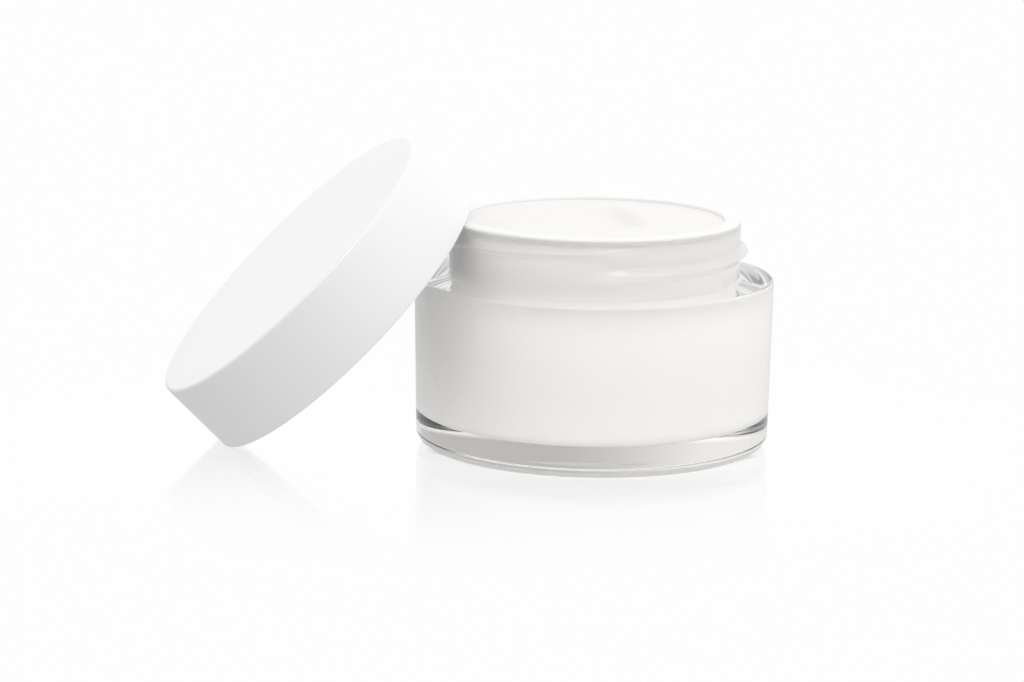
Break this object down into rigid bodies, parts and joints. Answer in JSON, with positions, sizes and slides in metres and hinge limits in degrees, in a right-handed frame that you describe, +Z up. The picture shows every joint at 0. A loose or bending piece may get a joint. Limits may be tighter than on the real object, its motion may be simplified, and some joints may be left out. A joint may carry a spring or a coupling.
{
  "type": "cosmetic cream jar with lid",
  "caption": "Clear thick-walled round cream jar with a white inner cup full of cream, its white screw lid taken off and leaning against the neck.",
  "frame": {"origin": "centre of the jar's flat base, on the surface it stands on", "axes": "+Z up along the jar's axis; +X from the leaning lid towards the jar, so the lid is at -X; -Y is the side the picture was taken from"},
  "size_m": [0.11, 0.0663, 0.0547],
  "materials": {
    "outer_jar": "clear polished acrylic or glass",
    "inner_cup": "white, satin",
    "cream": "soft glossy cream, stands in as a solid",
    "lid_shell": "white, smooth satin",
    "lid_inner_cap": "white moulded",
    "sealing_disc": "white foam"
  },
  "bodies": {
    "jar": {"outer_jar": "outer_jar", "inner_cup": "inner_cup", "cream": "cream"},
    "lid_seal": {"sealing_disc": "sealing_disc"},
    "lid": {"lid_shell": "lid_shell", "lid_inner_cap": "lid_inner_cap"}
  },
  "joints": [
    {"name": "lid_lift", "type": "slide", "parent": "jar", "child": "lid_seal", "axis": [-0.7043, -0.0865, 0.7046], "range_m": [0, 0.05]},
    {"name": "lid_turn", "type": "hinge", "parent": "lid_seal", "child": "lid", "pos_m": [-0.045, 0.0023, 0.02224], "axis": [-0.7043, -0.0865, 0.7046], "continuous": true}
  ]
}
